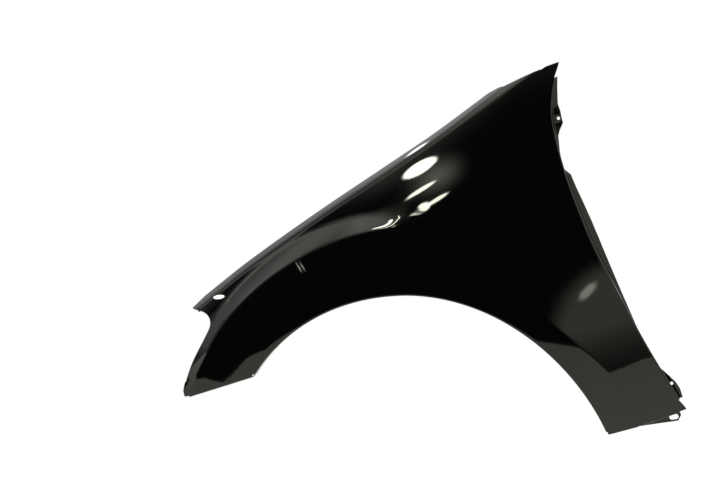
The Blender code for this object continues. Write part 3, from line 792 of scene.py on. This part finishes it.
def pressPanel():
    mesh = bmesh.new()
    listing = columns()
    grid = buildSkin(mesh, listing)
    pads = buildRail(mesh, listing, grid)
    buildPillarFlange(mesh, listing, grid)
    buildRockerFlange(mesh, grid)
    holes = buildArchLip(mesh, listing, grid)
    holes += buildRearFlange(mesh, listing, grid)
    holes += buildHeadlampFlange(mesh, listing, grid)
    holes += buildBumperFlange(mesh, grid)
    holes += [(centreOf(pad), upward, size["railHoleRadius"]) for pad in pads]
    cuts = [(centre, axis, rearward, radius, 0.0, size["holeCut"]) for centre, axis, radius in holes]
    slotCentre = Vector((lowerEdgeX(size["slotShare"]), lugPlane(), size["slotHeight"]))
    slotRun = leaning(size["slotTilt"], rearward, -upward)
    reach = (size["slotLength"] - size["slotWidth"]) / 2.0
    cuts.append((slotCentre, inboard, slotRun, size["slotWidth"] / 2.0, reach, size["slotCut"]))
    for before, after in zip(pads, pads[1:]):
        start, end = before[-1], after[-2]
        run = (end - start).normalized()
        reach = (end - start).length / 2.0 - size["scallopMargin"] - size["scallopDepth"]
        middle, axis = (start + end) / 2.0, run.cross(inboard)
        cuts.append((middle, axis, run, size["scallopDepth"], reach, size["scallopCut"]))
    bmesh.ops.recalc_face_normals(mesh, faces=mesh.faces)
    mesh.faces.ensure_lookup_table()
    if mesh.faces[0].normal.y > 0.0:
        bmesh.ops.reverse_faces(mesh, faces=mesh.faces)
    underside = centreOf(pads[size["mainPad"]]) - upward * size["sheetThickness"]
    rest = underside + rearward * size["padRestOffset"]
    data = bpy.data.meshes.new("fenderSheet")
    mesh.to_mesh(data)
    mesh.free()
    data.transform(Matrix.Translation(-rest))
    return addObject("fender_sheet", data), [(cut[0] - rest, *cut[1:]) for cut in cuts], rest


def holePoints(cuts):
    # One point for each hole, with its turn, radius, half stretch and depth
    points = meshObject("hole_points", [cut[0] for cut in cuts])
    turns, runs = [], []
    for centre, axis, run, radius, reach, depth in cuts:
        axis = axis.normalized()
        across = axis.cross(run).normalized()
        run = across.cross(axis)
        turns.append(Matrix((run, across, axis)).transposed().to_euler())
        runs.append(run * reach)
    addAttribute(points.data, "turn", "FLOAT_VECTOR", turns)
    addAttribute(points.data, "stretch", "FLOAT_VECTOR", runs)
    addAttribute(points.data, "extent", "FLOAT_VECTOR", [(cut[3], cut[3], cut[5]) for cut in cuts])
    return points


def buildTree(name, inputs, recipe):
    # A geometry tree with named inputs; the recipe adds its nodes and returns the last geometry socket
    tree = bpy.data.node_groups.new(name, "GeometryNodeTree")
    tree.interface.new_socket("Geometry", in_out="INPUT", socket_type="NodeSocketGeometry")
    for label, (kind, _) in inputs.items():
        tree.interface.new_socket(label, in_out="INPUT", socket_type=kind)
    tree.interface.new_socket("Geometry", in_out="OUTPUT", socket_type="NodeSocketGeometry")
    entry = tree.nodes.new("NodeGroupInput")
    final = tree.nodes.new("NodeGroupOutput")

    def add(kind, links=(), **settings):
        node = tree.nodes.new(kind)
        for key, value in settings.items():
            setattr(node, key, value)
        for socket, source in links:
            if isinstance(source, bpy.types.NodeSocket):
                tree.links.new(source, node.inputs[socket])
            else:
                node.inputs[socket].default_value = source
        return node

    tree.links.new(recipe(add, entry.outputs), final.inputs["Geometry"])
    return tree


def punchHoles(add, given):
    # Round-ended cutters on the hole points, taken away from the sheet
    def named(label, kind="FLOAT_VECTOR"):
        return add("GeometryNodeInputNamedAttribute", [("Name", label)], data_type=kind).outputs["Attribute"]

    place = add("GeometryNodeObjectInfo", [("Object", given["Holes"])]).outputs["Geometry"]
    spots = add("GeometryNodeMeshToPoints", [("Mesh", place)]).outputs["Points"]
    facing = add("FunctionNodeEulerToRotation", [("Euler", named("turn"))]).outputs["Rotation"]
    drum = add("GeometryNodeMeshCylinder", [("Vertices", given["Sides"]), ("Radius", 1.0), ("Depth", 1.0)])
    along = add("ShaderNodeSeparateXYZ", [(0, add("GeometryNodeInputPosition").outputs[0])]).outputs["X"]
    side = add("ShaderNodeMath", [(0, along)], operation="SIGN").outputs[0]
    marked = add("GeometryNodeStoreNamedAttribute", [
        ("Geometry", drum.outputs["Mesh"]), ("Name", "side"), ("Value", side),
    ], data_type="FLOAT", domain="POINT").outputs["Geometry"]
    cutters = add("GeometryNodeInstanceOnPoints", [
        ("Points", spots), ("Instance", marked), ("Rotation", facing), ("Scale", named("extent")),
    ]).outputs["Instances"]
    solid = add("GeometryNodeRealizeInstances", [("Geometry", cutters)]).outputs["Geometry"]
    stretched = [(0, named("stretch")), ("Scale", named("side", "FLOAT"))]
    shift = add("ShaderNodeVectorMath", stretched, operation="SCALE").outputs["Vector"]
    drawn = add("GeometryNodeSetPosition", [("Geometry", solid), ("Offset", shift)]).outputs["Geometry"]
    holed = add("GeometryNodeMeshBoolean", [("Mesh 1", given["Geometry"]), ("Mesh 2", drawn)],
                operation="DIFFERENCE", solver="EXACT").outputs["Mesh"]
    painted = add("GeometryNodeRealizeInstances", [("Geometry", holed)]).outputs["Geometry"]
    index = add("GeometryNodeInputMaterialIndex").outputs[0]
    for number, label in ((1, "Inner Finish"), (0, "Outer Finish")):
        faces = add("FunctionNodeCompare", [(2, index), (3, number)],
                    data_type="INT", operation="EQUAL").outputs[0]
        painted = add("GeometryNodeSetMaterial", [
            ("Geometry", painted), ("Selection", faces), ("Material", given[label]),
        ]).outputs["Geometry"]
    return painted


def finishPanel(sheet, cuts, outerPaint, innerPaint):
    for material in (outerPaint, innerPaint):
        sheet.data.materials.append(material)
    wall = sheet.modifiers.new("sheet", "SOLIDIFY")
    wall.thickness = size["sheetThickness"]
    wall.offset = -1.0
    wall.material_offset = 1
    points = holePoints(cuts)
    inputs = {
        "Holes": ("NodeSocketObject", points),
        "Sides": ("NodeSocketInt", size["roundSteps"]),
        "Outer Finish": ("NodeSocketMaterial", outerPaint),
        "Inner Finish": ("NodeSocketMaterial", innerPaint),
    }
    holes = sheet.modifiers.new("holes", "NODES")
    holes.node_group = buildTree("panelHoles", inputs, punchHoles)
    for item in holes.node_group.interface.items_tree:
        if item.in_out == "INPUT" and item.name in inputs:
            holes[item.identifier] = inputs[item.name][1]
    bpy.context.view_layer.update()
    data = bpy.data.meshes.new_from_object(sheet.evaluated_get(bpy.context.evaluated_depsgraph_get()))
    for thing in (sheet, points):
        bpy.data.objects.remove(thing)
    data.shade_smooth()
    data.set_sharp_from_angle(angle=math.radians(size["sharpAngle"]))
    return addObject("painted_fender", data)


# Paint, colours as linear values and sizes in metres; the tint is a painted yellow-green cast of the studio
# light, which colours all that the paint mirrors
paint = {
    "black": (0.0012, 0.0012, 0.0014),
    "ior": 1.45,
    "mirroredLightTint": (0.96, 1.0, 0.80),
    "roughness": 0.035,
    "innerBlack": (0.012, 0.012, 0.013),
    "innerRoughness": 0.34,
    "peelSize": 0.0022,
    "peelHeight": 0.0000012,
    "dustColour": (0.10, 0.10, 0.10),
    "dustSpacing": 0.030,
    "dustSize": 0.0006,
    "dustShare": 0.22,
}


def mathNode(nodes, links, operation, values):
    node = nodes.new("ShaderNodeMath")
    node.operation = operation
    for socket, value in zip(node.inputs, values):
        if isinstance(value, bpy.types.NodeSocket):
            links.new(value, socket)
        else:
            socket.default_value = value
    return node.outputs[0]


def surfaceMarks():
    # Slight waviness of sprayed paint and stray dust, shared by both finishes
    group = bpy.data.node_groups.new("surfaceMarks", "ShaderNodeTree")
    for label in ("Peel Size", "Dust Spacing", "Dust Size", "Dust Share"):
        group.interface.new_socket(label, in_out="INPUT", socket_type="NodeSocketFloat")
    for label in ("Peel", "Dust"):
        group.interface.new_socket(label, in_out="OUTPUT", socket_type="NodeSocketFloat")
    nodes, links = group.nodes, group.links
    entry, final = nodes.new("NodeGroupInput"), nodes.new("NodeGroupOutput")
    place = nodes.new("ShaderNodeTexCoord")

    def divide(top, bottom):
        return mathNode(nodes, links, "DIVIDE", (top, bottom))

    peel = nodes.new("ShaderNodeTexNoise")
    peel.inputs["Detail"].default_value = 1.0
    links.new(place.outputs["Object"], peel.inputs["Vector"])
    links.new(divide(1.0, entry.outputs["Peel Size"]), peel.inputs["Scale"])
    links.new(peel.outputs["Fac"], final.inputs["Peel"])

    specks = nodes.new("ShaderNodeTexVoronoi")
    links.new(place.outputs["Object"], specks.inputs["Vector"])
    links.new(divide(1.0, entry.outputs["Dust Spacing"]), specks.inputs["Scale"])
    reach = divide(entry.outputs["Dust Size"], entry.outputs["Dust Spacing"])
    near = mathNode(nodes, links, "LESS_THAN", (specks.outputs["Distance"], reach))
    chance = nodes.new("ShaderNodeSeparateColor")
    links.new(specks.outputs["Color"], chance.inputs[0])
    picked = mathNode(nodes, links, "LESS_THAN", (chance.outputs["Red"], entry.outputs["Dust Share"]))
    links.new(mathNode(nodes, links, "MULTIPLY", (near, picked)), final.inputs["Dust"])
    return group


def newMaterial(name):
    material = bpy.data.materials.new(name)
    material.use_nodes = True
    return material, material.node_tree.nodes, material.node_tree.links


def makePaint(name, colour, roughness, marks):
    material, nodes, links = newMaterial(name)
    shader = nodes["Principled BSDF"]
    shader.inputs["Roughness"].default_value = roughness
    shader.inputs["IOR"].default_value = paint["ior"]
    # painted light: the mirror tint gives the paint's reflections the studio light's yellow-green cast
    shader.inputs["Specular Tint"].default_value = (*paint["mirroredLightTint"], 1.0)
    surface = nodes.new("ShaderNodeGroup")
    surface.node_tree = marks
    for label, key in (("Peel Size", "peelSize"), ("Dust Spacing", "dustSpacing"),
                       ("Dust Size", "dustSize"), ("Dust Share", "dustShare")):
        surface.inputs[label].default_value = paint[key]
    mix = nodes.new("ShaderNodeMix")
    mix.data_type = "RGBA"
    mix.inputs["A"].default_value = (*colour, 1.0)
    mix.inputs["B"].default_value = (*paint["dustColour"], 1.0)
    links.new(surface.outputs["Dust"], mix.inputs["Factor"])
    links.new(mix.outputs["Result"], shader.inputs["Base Color"])
    bump = nodes.new("ShaderNodeBump")
    bump.inputs["Distance"].default_value = paint["peelHeight"]
    links.new(surface.outputs["Peel"], bump.inputs["Height"])
    links.new(bump.outputs["Normal"], shader.inputs["Normal"])
    return material


marks = surfaceMarks()
glossBlack = makePaint("gloss_black_paint", paint["black"], paint["roughness"], marks)
primerBlack = makePaint("primer_black", paint["innerBlack"], paint["innerRoughness"], marks)
print("paints mixed")
sheet, cuts, rest = pressPanel()
print("sheet pressed:", len(cuts), "cuts")
panel = finishPanel(sheet, cuts, glossBlack, primerBlack)
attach(panel, "root")
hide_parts("fender_panel")
print("panel:", len(panel.data.polygons), "faces")


# Camera, angles in degrees
view = {
    "azimuth": 16.0,
    "elevation": 2.65,
    "roll": -20.76,
    "distance": 3.2,
    "aim": (0.0801, 0.0, 0.4516),
    "focal": 1927.7,
    "frame": (720, 480),
    "sensor": 36.0,
}

azimuth, elevation, roll = (math.radians(view[key]) for key in ("azimuth", "elevation", "roll"))
outwards = math.cos(elevation)
back = Vector((math.sin(azimuth) * outwards, -math.cos(azimuth) * outwards, math.sin(elevation)))
level = Vector((math.cos(azimuth), math.sin(azimuth), 0.0))
above = back.cross(level)
right = level * math.cos(roll) + above * math.sin(roll)
top = above * math.cos(roll) - level * math.sin(roll)
aim = Vector(view["aim"]) - rest
eye = aim + back * view["distance"]

cameraData = bpy.data.cameras.new("camera")
cameraData.sensor_width = view["sensor"]
cameraData.lens = view["focal"] * view["sensor"] / view["frame"][0]
camera = addObject("camera", cameraData)
camera.matrix_world = Matrix.Translation(eye) @ Matrix((right, top, back)).transposed().to_4x4()
bpy.context.scene.camera = camera
print("camera placed")

# Studio: strengths of 1 are white
studio = {
    "floorDrop": 0.75,
    "floorSize": 14.0,
    "floorColour": 0.80,
    "floorRoughness": 0.9,
    "floorGlow": 0.56,
    "worldFill": 0.55,
    "lampEnergy": 60.0,
    "lampSize": 2.4,
    "lampHeight": 2.6,
    "flatDistance": 3.0,
    "flatTop": 88.0,
    "flatSides": (-30.0, 170.0),
    "flatSpacing": 1.0,
    "flatRows": 80,
    "cardSteps": 32,
    "cardRings": 10,
    "cardFade": 2.0,
    "mirrorSteps": 60,
    "slopeReach": 0.0004,
}


# Light on the dark flats, set to suit the photo, by degrees to the camera's left and above it
flatLights = {
    "dark": 0.015,
    "foot": (
        (-30.0, -20.0), (0.0, -20.4), (4.0, -21.7), (12.4, -20.9), (20.4, -20.7), (23.8, -19.2),
        (27.0, -17.9), (45.0, -16.0), (65.6, -14.8), (69.2, -16.5), (71.5, -17.9), (76.0, -22.4),
        (77.8, -24.7), (79.0, -23.8), (81.4, -19.7), (100.0, -7.0), (103.5, -0.4), (112.0, 2.0),
        (170.0, 8.0),
    ),
    "overhead": (
        (-90.0, 0.0), (32.0, 0.0), (36.0, 0.04), (40.0, 0.30), (44.0, 0.75), (48.0, 1.1),
        (52.0, 1.5), (60.0, 1.3), (88.0, 1.1),
    ),
    "overheadSides": (44.0, 70.0),
    "overheadLeast": 0.15,
    "leftHigh": (
        (97.0, 0.0), (105.0, 0.10), (112.0, 0.25), (119.0, 0.95), (123.0, 0.95), (127.0, 0.5),
        (133.0, 0.12), (143.0, 0.25), (154.0, 0.42), (160.0, 0.60), (170.0, 0.90),
    ),
    "leftLow": (
        (97.0, 0.0), (102.0, 0.25), (108.0, 0.30), (113.0, 0.15), (119.0, 0.45), (126.0, 0.45),
        (170.0, 0.40),
    ),
    "leftSplit": (14.0, 22.0),
    "windowGlow": 0.80,
    "windowEdge": (
        (-30.0, 19.0), (-10.0, 18.6), (-6.0, 17.8), (-3.0, 17.0), (-1.2, 16.3), (1.0, 14.7),
        (4.0, 11.0), (60.0, -40.0),
    ),
    "windowSoft": 2.0,
    "windowFoot": ((-30.0, 0.12), (-21.0, 0.15), (-18.0, 0.22), (-14.0, 0.45), (-9.0, 1.0), (60.0, 1.0)),
}


def flatGlow(side, rise):
    high, low = onLine(flatLights["leftHigh"], side), onLine(flatLights["leftLow"], side)
    left = low + (high - low) * smoothStep(*flatLights["leftSplit"], rise)
    edge, soft = onLine(flatLights["windowEdge"], rise), flatLights["windowSoft"]
    window = flatLights["windowGlow"] * (1.0 - smoothStep(edge - soft, edge + soft, side))
    window *= onLine(flatLights["windowFoot"], rise)
    share = flatLights["overheadLeast"]
    share += (1.0 - share) * smoothStep(*flatLights["overheadSides"], side)
    return flatLights["dark"] + max(onLine(flatLights["overhead"], rise) * share, left, window)


def rayMask(nodes, links):
    # 1 for what the camera sees directly, in gloss or through glass
    path = nodes.new("ShaderNodeLightPath")
    total = path.outputs["Is Camera Ray"]
    for label in ("Is Glossy Ray", "Is Transmission Ray"):
        total = mathNode(nodes, links, "MAXIMUM", (total, path.outputs[label]))
    return total


def buildWorld():
    world = bpy.data.worlds.new("studio")
    world.use_nodes = True
    nodes, links = world.node_tree.nodes, world.node_tree.links
    backdrop = nodes["Background"]
    backdrop.inputs["Color"].default_value = (1.0, 1.0, 1.0, 1.0)
    strength = nodes.new("ShaderNodeMapRange")
    links.new(rayMask(nodes, links), strength.inputs["Value"])
    strength.inputs["To Min"].default_value = studio["worldFill"]
    strength.inputs["To Max"].default_value = 1.0
    links.new(strength.outputs["Result"], backdrop.inputs["Strength"])
    bpy.context.scene.world = world


def buildFloor():
    half, height = studio["floorSize"] / 2.0, cadBox[0][2] - studio["floorDrop"]
    corners = [(x, y, height) for x, y in ((-half, -half), (half, -half), (half, half), (-half, half))]
    floor = meshObject("floor", corners, [(0, 1, 2, 3)])
    material, nodes, links = newMaterial("pale_floor")
    shader = nodes["Principled BSDF"]
    shader.inputs["Base Color"].default_value = (*[studio["floorColour"]] * 3, 1.0)
    shader.inputs["Roughness"].default_value = studio["floorRoughness"]
    shader.inputs["Emission Color"].default_value = (1.0, 1.0, 1.0, 1.0)
    glow = mathNode(nodes, links, "MULTIPLY", (rayMask(nodes, links), studio["floorGlow"]))
    links.new(glow, shader.inputs["Emission Strength"])
    floor.data.materials.append(material)


def glowMaterial(name, strength, clear):
    # Emitter that follows the mesh's own "glow"; a clear one adds to what lies behind it
    material, nodes, links = newMaterial(name)
    nodes.remove(nodes["Principled BSDF"])
    emitter = nodes.new("ShaderNodeEmission")
    glow = nodes.new("ShaderNodeAttribute")
    glow.attribute_name = "glow"
    scaled = mathNode(nodes, links, "MULTIPLY", (glow.outputs["Fac"], strength))
    links.new(scaled, emitter.inputs["Strength"])
    shown = emitter.outputs[0]
    if clear:
        both = nodes.new("ShaderNodeAddShader")
        links.new(emitter.outputs[0], both.inputs[0])
        links.new(nodes.new("ShaderNodeBsdfTransparent").outputs[0], both.inputs[1])
        shown = both.outputs[0]
    links.new(shown, nodes["Material Output"].inputs["Surface"])
    return material


def reflectOnly(thing):
    thing.visible_camera = False
    thing.visible_diffuse = False
    thing.visible_shadow = False


def studioPoint(side, rise, distance):
    # Direction in degrees to the camera's left and above, seen from the middle of the panel
    side, rise = math.radians(side), math.radians(rise)
    return aim + (back * math.cos(side) * math.cos(rise) - right * math.sin(side) * math.cos(rise)
                  + top * math.sin(rise)) * distance


def buildFlats():
    # Flats round the camera, seen only in the paint, down to the white floor: dark where the paint mirrors
    # them as its black, and with painted light overhead, to the left and in a low window to the right, which
    # the paint mirrors as grey and glowing reflections
    low, high = studio["flatSides"]
    steps = round((high - low) / studio["flatSpacing"])
    sides = [low + (high - low) * i / steps for i in range(steps + 1)]
    rows = studio["flatRows"]
    points, glows, faces = [], [], []
    for row in range(rows + 1):
        for side in sides:
            foot = onLine(flatLights["foot"], side)
            rise = foot + (studio["flatTop"] - foot) * row / rows
            points.append(studioPoint(side, rise, studio["flatDistance"]))
            glows.append(flatGlow(side, rise))
    for row in range(rows):
        for i in range(steps):
            first = row * len(sides) + i
            faces.append((first, first + 1, first + 1 + len(sides), first + len(sides)))
    flats = meshObject("dark_flats", points, faces)
    addAttribute(flats.data, "glow", "FLOAT", glows)
    # painted light: the flats' glow stands in for the studio's lamps and windows, seen only in the paint
    flats.data.materials.append(glowMaterial("flat_light_glow", 1.0, False))
    reflectOnly(flats)


def mirrored(column, row):
    # Where the panel mirrors the camera's ray through a place in the picture
    ray = (right * (column - view["frame"][0] / 2.0) - top * (row - view["frame"][1] / 2.0)
           - back * view["focal"]).normalized()
    start = eye + rest
    travelled = -start.y / ray.y
    for _ in range(studio["mirrorSteps"]):
        place = start + ray * travelled
        travelled = 0.5 * travelled + 0.5 * (sideDepth(place.x, place.z) - start.y) / ray.y
    place = start + ray * travelled
    x, z, step = place.x, place.z, studio["slopeReach"]
    slopeX = (sideDepth(x + step, z) - sideDepth(x - step, z)) / (2.0 * step)
    slopeZ = (sideDepth(x, z + step) - sideDepth(x, z - step)) / (2.0 * step)
    normal = Vector((slopeX, -1.0, slopeZ)).normalized()
    return place - rest, ray - 2.0 * ray.dot(normal) * normal


# Lamps that show in the paint only, placed where it mirrors them for this camera: place in the picture,
# half length and half width, tilt, strength, distance from the paint, share of the radius that is hard
cards = {
    "card_haze": ((437.0, 176.0), (48.0, 28.0), 31.0, 2.0, 0.35, 0.0),
    "card_long": ((420.0, 168.0), (22.0, 6.6), 31.0, 34.0, 0.35, 0.80),
    "card_thin": ((421.5, 189.5), (21.0, 2.4), 31.0, 30.0, 0.35, 0.60),
    "card_low": ((437.0, 199.5), (16.5, 2.4), 31.0, 28.0, 0.35, 0.60),
    "card_head": ((423.0, 207.5), (9.5, 5.0), 31.0, 30.0, 0.35, 0.70),
    "card_front": ((219.0, 297.0), (6.5, 2.4), 8.0, 30.0, 0.012, 0.70),
    "card_left": ((299.0, 267.5), (8.5, 1.0), -60.0, 8.0, 0.35, 0.30),
    "card_right": ((302.5, 266.5), (8.5, 0.8), -60.0, 8.0, 0.35, 0.30),
    "card_edge": ((417.0, 149.5), (19.0, 1.1), 34.0, 7.0, 0.35, 0.40),
    "card_rear": ((588.0, 291.0), (16.5, 6.6), 48.0, 2.2, 2.5, 0.45),
}


def buildCard(name, centre, extent, tilt, strength, distance, hard):
    turn, steps, rings = math.radians(tilt), studio["cardSteps"], studio["cardRings"]
    points, glows, faces = [], [], []
    for ring in range(rings):
        share = 1.0 - ring / rings
        for i in range(steps):
            angle = 2.0 * math.pi * i / steps
            along, across = extent[0] * share * math.cos(angle), extent[1] * share * math.sin(angle)
            column = centre[0] + along * math.cos(turn) + across * math.sin(turn)
            row = centre[1] - along * math.sin(turn) + across * math.cos(turn)
            place, direction = mirrored(column, row)
            points.append(place + direction * distance)
            glows.append((1.0 - smoothStep(hard, 1.0, share)) ** studio["cardFade"])
    place, direction = mirrored(*centre)
    points.append(place + direction * distance)
    glows.append(1.0)
    last = (rings - 1) * steps
    for i in range(steps):
        following = (i + 1) % steps
        faces.append((last + i, last + following, rings * steps))
        for first in range(0, last, steps):
            faces.append((first + i, first + following, first + following + steps, first + i + steps))
    card = meshObject(name, points, faces)
    addAttribute(card.data, "glow", "FLOAT", glows)
    card.data.materials.append(glowMaterial(name, strength, True))
    reflectOnly(card)


def buildLamp():
    data = bpy.data.lights.new("soft_lamp", "AREA")
    data.energy = studio["lampEnergy"]
    data.size = studio["lampSize"]
    lamp = addObject("soft_lamp", data)
    lamp.location = (aim.x, aim.y, aim.z + studio["lampHeight"])
    lamp.visible_glossy = False


buildWorld()
buildFloor()
buildLamp()
buildFlats()
for name, values in cards.items():
    buildCard(name, *values)
bpy.context.scene.view_settings.view_transform = "Standard"
print("studio ready:", len(cards), "lamps that show in the paint")
